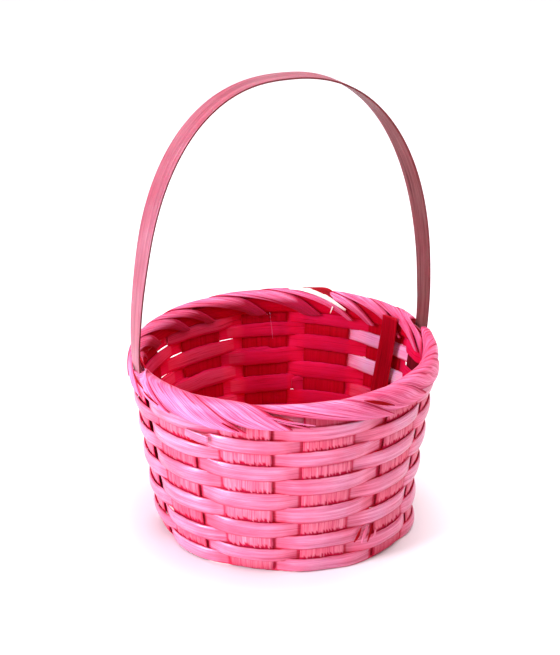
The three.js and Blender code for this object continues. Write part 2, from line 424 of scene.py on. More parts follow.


# Painted shade: what the colour is multiplied by deep in a crevice, on the wall, by the weavers'
# tucks, where the handle is tucked in, and inside the basket. Crevices are also duller.
OUTER_PAINTED_SHADE = (0.54, 0.008, 0.12)
TUCK_PAINTED_SHADE = (0.8, 0.006, 0.14)
LEG_PAINTED_SHADE = (1.0, 0.04, 0.2)
INNER_PAINTED_SHADE = (0.7, 0.013, 0.085)
DULL_CREASE = 0.55

# Noise of the fibres, of broader streaks and of patches of dye: its repeats per millimetre
# along and across the strip, and its detail.
FIBRE_NOISE = (0.05, 2.6, 4.0)
STREAK_NOISE = (0.014, 0.55, 3.0)
PATCH_NOISE = (0.035, 0.05, 2.0)
FIBRE_BUMP = 0.22 * MM

# Light goes a little way into a splint, and comes out redder.
INNER_LIGHT = 0.5
INNER_LIGHT_WAY = 3.0 * MM
INNER_LIGHT_COLOUR = (1.0, 0.12, 0.25)

WHITE = (1.0, 1.0, 1.0)
SHEEN_TINT = (1.0, 0.86, 0.98, 1.0)
GLOSS_TINT = (0.95, 0.72, 1.0, 1.0)


def stretched_noise(tree, vector, kind, place):
    """Noise drawn out along a strip, of one of the kinds named above."""
    along, across, detail = kind
    mapping = new_node(tree, "ShaderNodeMapping", place)
    mapping.inputs["Scale"].default_value = (along, across, 1.0)
    tree.links.new(vector, mapping.inputs["Vector"])
    noise = new_node(tree, "ShaderNodeTexNoise", (place[0] + 200, place[1]))
    noise.inputs["Scale"].default_value = 1.0
    noise.inputs["Detail"].default_value = detail
    noise.inputs["Roughness"].default_value = 0.6
    tree.links.new(mapping.outputs["Vector"], noise.inputs["Vector"])
    return noise.outputs["Fac"]


def colour_ramp(tree, value, first, last, place, middle=None):
    """A ramp between the first and the last stop. A stop is a position and a colour."""
    node = new_node(tree, "ShaderNodeValToRGB", place)
    for element, stop in zip(node.color_ramp.elements, (first, last)):
        element.position = stop[0]
        element.color = (*stop[1], 1.0)
    if middle:
        node.color_ramp.elements.new(middle[0]).color = (*middle[1], 1.0)
    tree.links.new(value, node.inputs["Fac"])
    return node.outputs["Color"]


def multiplied(tree, first, second, place):
    """The product of two colours."""
    node = new_node(tree, "ShaderNodeMix", place, data_type="RGBA", blend_type="MULTIPLY")
    node.inputs["Factor"].default_value = 1.0
    tree.links.new(first, node.inputs["A"])
    tree.links.new(second, node.inputs["B"])
    return node.outputs["Result"]


def fibre_tone(tree, fine, streak, grain):
    """How light each fibre is, from fine fibres and broader streaks."""
    half_streak = new_node(tree, "ShaderNodeMath", (-600, 0), operation="MULTIPLY")
    tree.links.new(streak, half_streak.inputs[0])
    half_streak.inputs[1].default_value = 0.5
    tone = new_node(tree, "ShaderNodeMath", (-400, 150), operation="MULTIPLY_ADD")
    tree.links.new(fine, tone.inputs[0])
    tone.inputs[1].default_value = 0.62 * grain
    tree.links.new(half_streak.outputs[0], tone.inputs[2])
    return tone.outputs[0]


def fibre_roughness(tree, fine, shade, roughness):
    """Fibre tops are glossier than the cracks between them, and crevices are dull."""
    rough = new_node(tree, "ShaderNodeMapRange", (300, -150))
    rough.inputs["From Min"].default_value = 0.3
    rough.inputs["From Max"].default_value = 0.7
    rough.inputs["To Min"].default_value = roughness + 0.14 + DULL_CREASE
    rough.inputs["To Max"].default_value = roughness - 0.06 + DULL_CREASE
    tree.links.new(fine, rough.inputs["Value"])
    duller = new_node(tree, "ShaderNodeMath", (600, -150), operation="MULTIPLY_ADD")
    tree.links.new(shade, duller.inputs[0])
    duller.inputs[1].default_value = -DULL_CREASE
    tree.links.new(rough.outputs["Result"], duller.inputs[2])
    return duller.outputs[0]


def splint(
    name,
    pale,
    body,
    deep,
    roughness=0.42,
    grain=1.0,
    sheen=0.0,
    blotch=0.35,
    gloss=0.5,
    painted_shade_colour=OUTER_PAINTED_SHADE,
):
    """Dyed splint: fibres along the strip, uneven dye, and a soft gloss on the fibre tops.

    pale, body and deep are linear colours of the fibre tops, the strip and its cracks. grain is
    the contrast of the fibres, and blotch how much redder the dye is in patches. Where the shade
    attribute is low, the colour is multiplied towards the crease colour, as painted shade.
    """
    material = bpy.data.materials.new(name)
    material.use_nodes = True
    tree = material.node_tree
    tree.nodes.clear()
    out = new_node(tree, "ShaderNodeOutputMaterial", (1200, 0))
    shader = new_node(tree, "ShaderNodeBsdfPrincipled", (900, 0))
    tree.links.new(shader.outputs["BSDF"], out.inputs["Surface"])

    strip = new_node(tree, "ShaderNodeUVMap", (-1200, 0), uv_map="strip").outputs["UV"]
    fine = stretched_noise(tree, strip, FIBRE_NOISE, (-900, 300))
    streak = stretched_noise(tree, strip, STREAK_NOISE, (-900, 0))
    patch = stretched_noise(tree, strip, PATCH_NOISE, (-900, -300))
    shade_node = new_node(tree, "ShaderNodeAttribute", (-200, -500), attribute_name="shade")
    shade = shade_node.outputs["Fac"]

    tone = fibre_tone(tree, fine, streak, grain)
    usual = 0.08 + 0.31 * grain
    first, last = (usual - 0.06, deep), (usual + 0.30, pale)
    colour = colour_ramp(tree, tone, first, last, (-200, 150), middle=(usual + 0.10, body))
    redder = (1.0, 1.0 - blotch, 1.0 - blotch * 0.8)
    dye = colour_ramp(tree, patch, (0.35, redder), (0.62, WHITE), (-200, -250))
    # Painted shade: where the shade attribute is low, the colour is multiplied towards the crease colour.
    crease = colour_ramp(tree, shade, (0.15, painted_shade_colour), (1.0, WHITE), (0, -500))
    dyed = multiplied(tree, colour, dye, (200, 150))
    tree.links.new(multiplied(tree, dyed, crease, (500, 150)), shader.inputs["Base Color"])
    tree.links.new(fibre_roughness(tree, fine, shade, roughness), shader.inputs["Roughness"])

    bump = new_node(tree, "ShaderNodeBump", (600, -300))
    bump.inputs["Strength"].default_value = 0.5
    bump.inputs["Distance"].default_value = FIBRE_BUMP
    tree.links.new(tone, bump.inputs["Height"])
    tree.links.new(bump.outputs["Normal"], shader.inputs["Normal"])

    shader.inputs["Subsurface Weight"].default_value = INNER_LIGHT
    shader.inputs["Subsurface Radius"].default_value = INNER_LIGHT_COLOUR
    shader.inputs["Subsurface Scale"].default_value = INNER_LIGHT_WAY
    shader.inputs["Sheen Weight"].default_value = sheen
    shader.inputs["Sheen Roughness"].default_value = 0.4
    shader.inputs["Sheen Tint"].default_value = SHEEN_TINT
    shader.inputs["Specular IOR Level"].default_value = gloss
    shader.inputs["Specular Tint"].default_value = GLOSS_TINT
    return material


def srgb(r, g, b):
    """A linear colour from 0 to 255 screen values."""
    return tuple((value / 255.0) ** 2.2 for value in (r, g, b))


WEAVER_OUT = splint(
    "weaver_outer",
    srgb(230, 150, 178),
    srgb(198, 88, 122),
    srgb(154, 18, 58),
    roughness=0.27,
    blotch=0.5,
    gloss=1.0,
    painted_shade_colour=TUCK_PAINTED_SHADE,
)
# The weavers' inside is painted with shade towards crimson almost everywhere; its pale lavender colours
# are painted light, seen where that shade is lifted.
WEAVER_IN = splint(
    "weaver_inner",
    srgb(255, 214, 248),
    srgb(246, 168, 216),
    srgb(170, 20, 70),
    grain=1.3,
    gloss=0.05,
    painted_shade_colour=INNER_PAINTED_SHADE,
)
STAKE_OUT = splint(
    "stake_outer", srgb(232, 140, 160), srgb(214, 90, 118), srgb(160, 22, 54), grain=1.25, gloss=0.2
)
# The stakes' inside is the deep crimson of the shaded inside of the basket: painted shade.
STAKE_IN = splint(
    "stake_inner", srgb(204, 10, 48), srgb(184, 3, 34), srgb(128, 0, 22), gloss=0.05
)
FOLD = splint(
    "rim_fold",
    srgb(236, 138, 178),
    srgb(208, 74, 120),
    srgb(150, 10, 50),
    grain=1.3,
    blotch=0.5,
    gloss=0.4,
)
HANDLE_OUT = splint(
    "handle_outer",
    srgb(170, 102, 113),
    srgb(136, 68, 82),
    srgb(102, 31, 47),
    grain=0.9,
    sheen=0.1,
    painted_shade_colour=LEG_PAINTED_SHADE,
)
# The handle's inner face and edges: browner than its outer face, and darker still as painted shade, as
# that face is turned from the light.
HANDLE_IN = splint(
    "handle_inner",
    srgb(118, 74, 72),
    srgb(88, 43, 43),
    srgb(56, 23, 26),
    gloss=0.15,
    painted_shade_colour=LEG_PAINTED_SHADE,
)
# The dark upright's own colour, also used for ribbons of painted shade in gaps and seams.
DARK_SPLINT_AND_SHADE = splint(
    "dark_splint_and_shade", srgb(176, 14, 40), srgb(140, 2, 26), srgb(72, 0, 10), grain=1.2, gloss=0.1
)
CREAM = splint("cream_splint", srgb(250, 236, 226), srgb(244, 220, 208), srgb(226, 150, 150))

# ---------------------------------------------------------------------------------------------
# Weavers


def weave_phase(angles):
    """For each angle: the stake before it, and how far it is from there to the next stake."""
    centres = np.array([stake_angle(i) for i in range(-STAKES, 3 * STAKES)])
    before = np.searchsorted(centres, angles, side="right") - 1
    t = (angles - centres[before]) / (centres[before + 1] - centres[before])
    return before - STAKES, t


def near_leg(angles, z):
    """How much an angle lies under a handle leg, from 0 to 1."""
    amount = np.zeros_like(angles)
    if z < LEG_BOTTOM - 4.0:
        return amount
    for leg in LEG_ANGLES:
        away = turn_between(angles, leg)
        amount = np.maximum(amount, 1.0 - smooth((away - LEG_NEAR) / LEG_NEAR))
    return amount


def past_edge(angles, row):
    """Millimetres from each angle to the edge of the stake that hides the weaver's next tuck."""
    before = weave_phase(angles)[0]
    hiding = np.where((before + row) % 2 == 0, before + 1, before)
    centres = np.array([stake_angle(index) for index in hiding])
    z = WEAVER_HEIGHTS[row]
    return np.radians(np.abs(angles - centres)) * stake_radius(z) - stake_half(z)


def painted_light_patch(angles, reach):
    """1 in the patch of painted light inside the back right wall, and 0 past its reach."""
    return smooth((reach - turn_between(angles, PAINTED_LIGHT_ANGLE)) / 7.0)


def facing_side(angles, side, least, spread):
    """How near angles are to a side: 0 below a least cosine of the turn, 1 above its spread."""
    return smooth((np.cos(np.radians(angles - side)) - least) / spread)


def inner_painted_light(angles, row):
    """Painted light that lifts the painted shade inside: the lit patch on the back right wall, on every
    other pass and higher up, and a lighter side at the back left.
    """
    strength = mix(0.15, 1.0, row % 2) * smooth((WEAVER_HEIGHTS[row] - 30.0) / 30.0)
    return painted_light_patch(angles, 25.0) * strength + 0.2 * facing_side(angles, PAINTED_SIDE_LIGHT_ANGLE, 0.3, 0.4)


def lap_depth(turned):
    """The two ends of a weaver lap: the first lies outside the last."""
    lap = LAP_DEPTH * (1.0 - smooth((turned - LAP_DEGREES) / LAP_FADE))
    return lap - LAP_DEPTH * smooth((turned - 360.0 + LAP_FADE) / LAP_FADE)


def weaver_half(row, angles, wave):
    """Half a weaver's height round the basket, before it wanders: fuller at the crests."""
    heights = [ROW_LIMITS[0]] + WEAVER_HEIGHTS + [ROW_LIMITS[1]]
    pitch = (heights[row + 2] - heights[row]) / 2.0
    low = mix(FILL, FILL_BEHIND, facing_side(angles, BEHIND_ANGLE, 0.25, 0.3))
    return pitch * mix(low, FILL_CREST, smooth(np.abs(wave) * 1.3 - 0.2))


def weaver_shades(row, angles, wave, v):
    """Painted shade of a weaver outside and inside: dark at its edges, by its tucks and in its hollows."""
    wave = wave[:, None]
    # Painted shade along both edges, heavier on the lower one, and by the stake's edge at each tuck.
    edge = 0.6 * smooth((v - 0.84) / 0.16) + 0.85 * smooth((-v - 0.62) / 0.36)
    tuck = 1.0 - smooth((past_edge(angles, row) - 0.3) / 1.8)
    outside = 1.0 - edge - tuck[:, None] - 0.25 * smooth((0.5 - wave) / 0.7)
    inside = inner_painted_light(angles, row)[:, None] - edge - 0.3 * smooth((-0.1 + wave) / 0.6)
    return outside, inside


def weaver(row):
    """One weaver, outside one stake and inside the next, from its first end round to its last."""
    z = WEAVER_HEIGHTS[row]
    turned = np.linspace(0.0, 360.0 + LAP_DEGREES, WEAVER_STATIONS)
    angles = WEAVER_STARTS[row] + turned
    before, t = weave_phase(angles)
    side = np.where((before + row) % 2 == 0, 1.0, -1.0)
    wave = side * np.cos(math.pi * (t - WEAVE_SKEW * np.sin(2.0 * math.pi * t)))
    lap = lap_depth(turned)
    under_leg = near_leg(angles, z)
    legs = LEG_PRESS * under_leg * smooth(wave) - LEG_BULGE * under_leg * smooth(0.5 - wave)
    depth = WEAVE_DEPTH * wave + legs + lap

    length = np.radians(turned) * stake_radius(z)
    rise = wander(length, *RISE_WANDER) + lap * 0.8
    half = weaver_half(row, angles, wave) + wander(length, *HALF_WANDER)
    taper = np.minimum(smooth(turned / 2.5), smooth((angles[-1] - angles) / 2.5))
    half = half * mix(0.72, 1.0, taper)
    camber = WEAVER_CAMBER * wave
    roll = wander(length, *ROLL_WANDER)

    v = np.linspace(-1.0, 1.0, WEAVER_COLUMNS)[None, :]
    height = np.maximum(z + rise[:, None] + v * half[:, None], WEAVER_FOOT + 0.05 * v)
    radius = stake_radius(height) + depth[:, None] - camber[:, None] * v**2 + roll[:, None] * v
    nicks = wander(length, *NICK_WANDER)[:, None] * np.abs(v) ** 6 * np.sign(v)
    grid = ring_point(radius, angles[:, None], height + nicks)
    name = f"weaver_strip_{row + 1:02d}"
    shades = weaver_shades(row, angles, wave, v)
    materials = [WEAVER_OUT, WEAVER_IN]
    piece = strip_piece(name, grid, WEAVER_THICKNESS, materials, USUAL_RIDGE, *shades)
    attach(piece, "root")
    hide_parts(f"weaver_{row + 1:02d}")


# ---------------------------------------------------------------------------------------------
# Stake strips: up one side of the wall, across the base and up the other side


def stake_half(z):
    """Half a stake's width at a height on the wall."""
    return mix(STAKE_HALF_LOW, STAKE_HALF_HIGH, smooth(z / STAKE_WIDENS))


def wall_row(stake, radius, z, columns):
    """One station of a stake on the wall."""
    half = arc_angle(stake_half(z), radius)
    return ring_point(radius, stake_angle(stake) + columns * half, z)


def stake_rows(stake, columns):
    """Stations of one stake, from its top behind the rim down to the foot of its turn-up."""
    rows = [wall_row(stake, radius, z, columns) for radius, z in STAKE_TOP]
    for z in np.arange(WEAVER_HEIGHTS[-1], STAKE_FOOT, -STAKE_STEP):
        give = -STAKE_GIVE * covered(stake, z)
        rows.append(wall_row(stake, stake_radius(z) + give, z, columns))
    inner = stake_radius(STAKE_BEND + BASE_LOW) - STAKE_BEND
    for turn in np.radians([0.0, 22.5, 45.0, 67.5, 90.0]):
        radius = inner + STAKE_BEND * math.cos(turn)
        z = BASE_LOW + STAKE_BEND - STAKE_BEND * math.sin(turn)
        rows.append(wall_row(stake, radius, z, columns))
    return rows


def covered(stake, z):
    """1 where a weaver passes outside a stake, -1 where one passes inside it."""
    row = np.interp(z, WEAVER_HEIGHTS, np.arange(len(WEAVER_HEIGHTS)))
    return np.cos(math.pi * row) * np.where(stake % 2 == 0, 1.0, -1.0)


def base_rows(along, lane, columns):
    """Stations across the woven base: over or under each of the three strips it meets."""
    flat = STAKE_HALF_LOW + 0.6
    ramp = BASE_PITCH + flat + STAKE_BEND
    stations = [(-ramp, BASE_LOW)]
    for crossing in (-1, 0, 1):
        odd = (crossing + lane) % 2 != 0
        over = odd if along == "y" else not odd
        z = BASE_HIGH if over else BASE_LOW
        for place in (-flat, -flat / 2.0, 0.0, flat / 2.0, flat):
            stations.append((crossing * BASE_PITCH + place, z))
    stations.append((ramp, BASE_LOW))
    side = columns * BASE_HALF
    offset = lane * BASE_PITCH
    rows = []
    for place, z in stations:
        station = np.full_like(columns, place)
        height = np.full_like(columns, z)
        if along == "y":
            rows.append(np.stack([offset + side, station, height], axis=-1))
        else:
            rows.append(np.stack([station, offset - side, height], axis=-1))
    return rows


def stake_shades(height, stake, columns):
    """Painted shade of a stake strip outside and inside: dark edges and foot, and toothed hollows.

    The weavers hide the stake in turn. The painted shade of the hollows beside them ends in teeth along
    the fibres.
    """
    # All of this is painted shade, except the deeper dye of some stakes, which is their own colour.
    wall = smooth((height - 3.0) / 3.0)
    cover = covered(stake, height)
    teeth = TEETH.uniform(0.4, 2.2, STAKE_COLUMNS)[None, :]
    hidden = np.maximum(cover[:, None], covered(stake[:, None], height[:, None] - teeth))
    woven = wall * (1.0 - 0.6 * smooth((height - 77.5) / 2.0))
    dye = np.array(STAKE_DYE)[stake][:, None]
    edge = dye + 0.5 * smooth((np.abs(columns) - 0.86) / 0.14)[None, :]
    foot = 0.5 * (1.0 - smooth((height - 1.0) / 8.0))[:, None]
    outside = 1.0 - edge - foot - 0.95 * woven[:, None] * smooth((hidden + 0.27) / 0.3)
    inside = 1.0 - edge - (0.6 * wall * smooth((0.45 - cover) / 0.5))[:, None]
    return outside, inside


def stake_strip(name, along, lane, first, last):
    """One long strip that stands as two stakes, the first and the last, and crosses the base."""
    columns = np.linspace(-1.0, 1.0, STAKE_COLUMNS)
    near = stake_rows(first, columns)
    across = base_rows(along, lane, columns)
    far = stake_rows(last, -columns)[::-1]
    grid = refine(np.stack(near + across + far), STAKE_MESH_STEP)
    height = grid[:, STAKE_COLUMNS // 2, 2]
    stake = np.where(np.arange(len(grid)) < len(grid) // 2, first, last)
    shades = stake_shades(height, stake, columns)
    materials = [STAKE_OUT, STAKE_IN]
    piece = strip_piece(name, grid, STAKE_THICKNESS, materials, STAKE_RIDGE, *shades)
    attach(piece, "root")
    return piece


# Each strip's name, the way it runs in the base, its lane there, and the stakes at its ends.
BASE_STRIPS = [
    ("y1", "y", -1, 11, 7),
    ("y2", "y", 0, 0, 6),
    ("y3", "y", 1, 1, 5),
    ("x1", "x", -1, 10, 2),
    ("x2", "x", 0, 9, 3),
    ("x3", "x", 1, 8, 4),
]


def stake_strips():
    """The six strips in the place of the CAD part's."""
    for label, along, lane, first, last in BASE_STRIPS:
        piece = stake_strip(f"stake_{label}", along, lane, first, last)
        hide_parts(f"stake_strip_{label}")


# ---------------------------------------------------------------------------------------------
# Rim: the stakes' ends, split into leaves that wrap slantwise over the hoop

# One leaf's way round the rim, from its tip outside, over the top, to its end inside:
# radius, height, and how far it has slid round, as a share of the whole slide.
LEAF_PATH = np.array(
    [
        (73.9, 78.8, 1.0),
        (74.2, 81.0, 0.91),
        (74.2, 84.2, 0.80),
        (73.9, 87.0, 0.69),
        (73.1, 89.1, 0.59),
        (71.9, 90.0, 0.50),
        (70.2, 89.9, 0.42),
        (68.7, 88.7, 0.33),
        (67.9, 86.2, 0.22),
        (67.6, 82.6, 0.11),
        (68.0, 78.4, 0.0),
    ]
)
LEAF_SLIDE = 37.0
LEAF_COLUMNS = 27
LEAF_STATIONS = 15
LEAF_THICKNESS = 0.75
# How much narrower a leaf is across its fibres than round the rim.
LEAF_SLANT = 0.53
RIM_MIDDLE = np.array([71.6, 84.6])
# Past this radius and height, going inwards and down, a leaf gets darker with painted shade.
LEAF_DARK_START = (71.5, 88.8)


def leg_clear(left, right, near_top):
    """Moves the edges of a leaf off a handle leg where the leaf crosses the top of the rim."""
    for leg in LEG_ANGLES:
        for turn in (-360.0, 0.0, 360.0):
            low = leg + turn - LEG_SLOT
            high = leg + turn + LEG_SLOT
            if left < high and right > high:
                left = mix(left, high, near_top)
            elif left < low < right:
                right = mix(right, low, near_top)
            elif low <= left and right <= high:
                left = mix(left, high, near_top)
                right = mix(right, high + 1.0, near_top)
    return left, right


def leaf_shade(grid, columns):
    """Painted shade of a leaf: dark along its edges, deep inside the rim and in a few short splits, less
    so in the painted light of the back right wall.
    """
    shade = 1.0 - 0.7 * smooth((-columns - 0.45) / 0.5) - 0.9 * smooth((columns - 0.86) / 0.1)
    x, y, z = grid[:, LEAF_COLUMNS // 2].T
    inner = np.hypot(x, y) < LEAF_DARK_START[0]
    depth = smooth((LEAF_DARK_START[1] - z) / 5.0) * inner
    depth = depth * (1.0 - 0.8 * painted_light_patch(np.degrees(np.arctan2(x, -y)), 38.0))
    shade = shade[None, :] - 0.9 * depth[:, None]
    way = np.linspace(0.0, 1.0, len(grid))
    for column in SPLITS.integers(3, LEAF_COLUMNS - 3, 3):
        begin = SPLITS.uniform(0.1, 0.8)
        end = begin + SPLITS.uniform(0.1, 0.35)
        shade[:, column] -= 0.8 * smooth((way - begin) / 0.04) * smooth((end - way) / 0.04)
    return shade


def rim_leaf(name, left, right, slide, short, flare, layer, inside, cut):
    """One leaf between two angles at its inner end.

    short is the share of its length missing at the outer tip, flare how far the tip stands off,
    layer its height over the other leaves, inside the share of its width left at its end, and
    cut the share of its width that is missing from the left of its tip.
    """
    columns = np.linspace(-1.0, 1.0, LEAF_COLUMNS)
    stations = np.linspace(0.0, 1.0, len(LEAF_PATH))
    width = right - left
    rows = []
    for t in np.linspace(1.0, short, LEAF_STATIONS):
        radius, z, slid = [np.interp(t, stations, values) for values in LEAF_PATH.T]
        away = np.array([radius, z]) - RIM_MIDDLE
        away = away / np.linalg.norm(away)
        tip = 1.0 - smooth((t - short) / 0.12)
        end = smooth((t - 0.55) / 0.45)
        low = left + slide * slid
        high = right + slide * slid - (1.0 - inside) * width * end
        low += 0.3 * width * tip * (1.0 - cut) + cut * width * max(0.45 - t, 0.0) / 0.45
        near_top = 1.0 - smooth((abs(t - 0.52) - 0.12) / 0.1)
        low, high = leg_clear(low, high, near_top)
        angle = mix(low, high, (columns + 1.0) / 2.0)
        off = layer + 0.35 * (1.0 - columns**2) + 0.45 * columns * (1.0 - end) + flare * tip
        rows.append(ring_point(radius + away[0] * off, angle, z + away[1] * off))
    grid = refine(np.stack(rows), LEAF_MESH_STEP)
    shade = leaf_shade(grid, columns)
    materials = [FOLD, STAKE_IN]
    piece = strip_piece(
        name, grid, LEAF_THICKNESS, materials, LEAF_RIDGE, shade, squeeze=LEAF_SLANT
    )
    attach(piece, "root")


# Where the seams between leaves cross the top of the rim.
LEAF_SEAMS = [
    *(2, 25, 50, 70, 89, 105, 121, 139, 151),
    *(166, 188, 212, 225, 245, 262, 277, 307, 327.5),
]
# The last leaf is torn slantwise, which leaves a stake and the hoop open to view beside it.
LEAF_CUTS = [0.0] * (len(LEAF_SEAMS) - 1) + [0.7]
# How far a leaf reaches under and over its neighbours, in degrees.
LEAF_REACH = (3.5, 1.5)
# Ranges of what differs from leaf to leaf, as rim_leaf takes it.
SLIDE_RANGE = (0.94 * LEAF_SLIDE, 1.08 * LEAF_SLIDE)
SHORT_RANGE = (0.0, 0.10)
FLARE_RANGE = (0.0, 0.7)
LAYER_RANGE = (-0.1, 0.35)
INSIDE_RANGE = (0.05, 0.35)


def rim_leaves():
    """All the leaves, each from one seam to the next and a little under and over its neighbours."""
    ends = LEAF_SEAMS[1:] + [LEAF_SEAMS[0] + 360.0]
    for number, (low, high) in enumerate(zip(LEAF_SEAMS, ends)):
        slide = random.uniform(*SLIDE_RANGE)
        rim_leaf(
            f"rim_leaf_{number + 1:02d}",
            low - LEAF_REACH[0] - slide / 2.0,
            high + LEAF_REACH[1] - slide / 2.0,
            slide,
            random.uniform(*SHORT_RANGE),
            random.uniform(*FLARE_RANGE),
            random.uniform(*LAYER_RANGE),
            random.uniform(*INSIDE_RANGE),
            LEAF_CUTS[number],
        )


# ---------------------------------------------------------------------------------------------
# Loose ends: slivers, a hair, a weaver's end, and dark ribbons of painted shade in slits and seams, each a
# narrow tapered ribbon

# Name, material, painted shade, and points on the way: radius, angle, height, half width.
# The dark ribbons are painted shade in gaps, slits and seams and under a turned edge.
LOOSE_ENDS = [
    (
        "undyed_sliver",
        "cream",
        1.0,
        [(72.2, 160, 90.6, 0.7), (69.8, 152, 91.3, 1.2), (67.4, 142, 89.2, 1.2), (66.0, 131, 83.8, 0.6)],
    ),
    (
        "turned_under_shadow",
        "dark",
        0.6,
        [(74.0, 155, 90.2, 0.8), (72.8, 149, 91.2, 2.4), (70.6, 142, 90.9, 2.8), (68.4, 135, 87.6, 0.8)],
    ),
    ("split_gap_shadow", "dark", 0.3, [(74.4, 334, 86.8, 0.3), (74.7, 341, 84.0, 1.6), (74.4, 349, 80.2, 0.3)]),
    ("split_one", "fold", 1.0, [(75.0, 334, 87.0, 0.3), (75.2, 342, 84.2, 0.5), (74.6, 351, 81.3, 0.2)]),
    ("split_two", "fold", 0.9, [(75.0, 338, 84.4, 0.3), (75.2, 344, 82.3, 0.45), (74.6, 350, 79.8, 0.2)]),
    ("facet_shadow", "dark", 0.3, [(74.2, 9, 89.3, 0.2), (75.3, 15, 86.6, 0.9), (75.6, 21.5, 83.0, 0.2)]),
    ("short_seam_shadow", "dark", 0.3, [(75.2, 319, 81.8, 0.2), (75.3, 322, 80.2, 0.5), (75.1, 325, 78.6, 0.2)]),
    ("leg_seam_shadow", "dark", 0.3, [(74.7, 271, 87.4, 0.3), (75.3, 276, 86.2, 0.6), (75.3, 281, 84.8, 0.2)]),
    ("side_seam_shadow", "dark", 0.3, [(75.4, 282, 83.6, 0.2), (75.4, 286, 82.4, 0.6), (75.3, 291, 81.2, 0.2)]),
    ("weaver_end", "weaver", 1.0, [(73.2, 303, 72.0, 1.7), (74.0, 308, 71.6, 2.2), (73.9, 313, 71, 1.9)]),
    ("end_slit_shadow", "dark", 0.3, [(73.7, 303, 68.9, 0.2), (74.0, 306, 68.7, 0.6), (73.9, 309.5, 68.5, 0.2)]),
    ("fray_gap_shadow", "dark", 0.5, [(64.7, 14, 19.8, 0.25), (64.9, 12.2, 16.6, 0.8), (64.5, 10.3, 13.6, 0.25)]),
    ("fray_slit_shadow", "dark", 0.5, [(64.7, 19.8, 19.4, 0.2), (64.9, 18, 15.6, 0.65), (64.5, 16.4, 12, 0.2)]),
    ("frayed_one", "weaver", 0.9, [(65, 17.2, 20, 0.5), (65.3, 15.2, 16.5, 1.0), (65.1, 13.4, 12.6, 0.3)]),
    ("frayed_two", "weaver", 0.8, [(65, 21, 16.8, 0.3), (65.3, 20, 14.6, 0.6), (65, 18.6, 12.8, 0.2)]),
    ("inner_hair", "weaver", 1.0, [(66.0, 166, 80, 0.1), (65.0, 165.2, 72, 0.2), (64.4, 164.8, 66, 0.1)]),
    ("poking_fibre", "cream", 1.0, [(66.2, 137.4, 84.6, 0.4), (65.6, 138.4, 81.0, 0.2)]),
]

LOOSE_COLUMNS = 9
LOOSE_THICKNESS = 0.35
# On the rim, ribbons lie square to the way out from its middle, drawn out into an oval.
LOOSE_MIDDLE = (71.5, 84.6)
LOOSE_OVAL = (4.0, 6.0)


def loose_ends():
    """The ribbons of the table above, each laid flat on the wall or round the rim."""
    # A ribbon's tone is painted shade, and the dark kind stands for shade in gaps and seams.
    materials = {"cream": CREAM, "fold": FOLD, "weaver": WEAVER_OUT, "dark": DARK_SPLINT_AND_SHADE}
    columns = np.linspace(-1.0, 1.0, LOOSE_COLUMNS)
    for name, kind, tone, stations in LOOSE_ENDS:
        radius, angle, height, half = np.array(stations, dtype=float).T
        middle = ring_point(radius, angle, height)
        forward = np.gradient(middle, axis=0)
        outward = ring_point(1.0, angle, 0.0)
        facing = outward * ((radius - LOOSE_MIDDLE[0]) / LOOSE_OVAL[0])[:, None]
        facing[:, 2] = (height - LOOSE_MIDDLE[1]) / LOOSE_OVAL[1]
        on_rim = height > RIM_FOOT
        facing[~on_rim] = outward[~on_rim]
        across = np.cross(forward, facing)
        across = across / np.linalg.norm(across, axis=1, keepdims=True)
        grid = middle[:, None, :] + columns[None, :, None] * (half[:, None] * across)[:, None, :]
        grid = refine(grid, LOOSE_MESH_STEP)[:, ::-1]
        both = [materials[kind]] * 2
        piece = strip_piece(name, grid, LOOSE_THICKNESS, both, LOOSE_RIDGE, tone)
        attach(piece, "root")


# ---------------------------------------------------------------------------------------------
# Hoop, handle and splint


def rim_hoop():
    """The flat hoop inside the rim. Its ends lap."""
    turned = np.linspace(0.0, 360.0 + HOOP_LAP, 420)
    lap = HOOP_LAP_DEPTH * (1.0 - smooth(turned / HOOP_FIRST_FADE))
    lap = lap - HOOP_LAP_DEPTH * smooth((turned - HOOP_LAST_START) / HOOP_LAST_FADE)
    v = np.linspace(-1.0, 1.0, 9)[None, :]
    angles = (HOOP_START + turned)[:, None]
    grid = ring_point(HOOP_RADIUS + lap[:, None], angles, HOOP_HEIGHT + HOOP_HALF * v)
    piece = strip_piece("hoop_strip", grid, HOOP_THICKNESS, [STAKE_OUT, STAKE_IN])
    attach(piece, "root")
    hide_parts("rim_hoop")


def handle_profile():
    """Side view of the whole handle, from the foot of the right leg over to the left one."""
    leg = [(float(stake_radius(z)) - LEG_INSET, z) for z in (LEG_BOTTOM, 40.0, 58.0, 74.0)]
    leg += LEG_TOP
    arch = []
    rise = HANDLE_TOP - HANDLE_THICKNESS / 2.0 - ARCH_START
    for turn in np.linspace(0.0, math.pi, 61):
        across = math.cos(turn)
        lift = max(math.sin(turn), 0.0)
        x = math.copysign(abs(across) ** (2.0 / ARCH_POWER), across) * ARCH_HALF_SPAN
        arch.append((x, ARCH_START + rise * lift ** (2.0 / ARCH_POWER)))
    profile = np.array(leg + arch + [(-x, z) for x, z in reversed(leg)])
    free = smooth((profile[:, 1] - ARCH_FOOT) / 60.0)
    profile[:, 0] += HANDLE_LEAN * free * (0.5 - 0.5 * profile[:, 0] / ARCH_HALF_SPAN) ** 2
    profile[:, 1] -= ARCH_SAG * smooth((profile[:, 1] - ARCH_SHOULDER) / 90.0)
    return profile


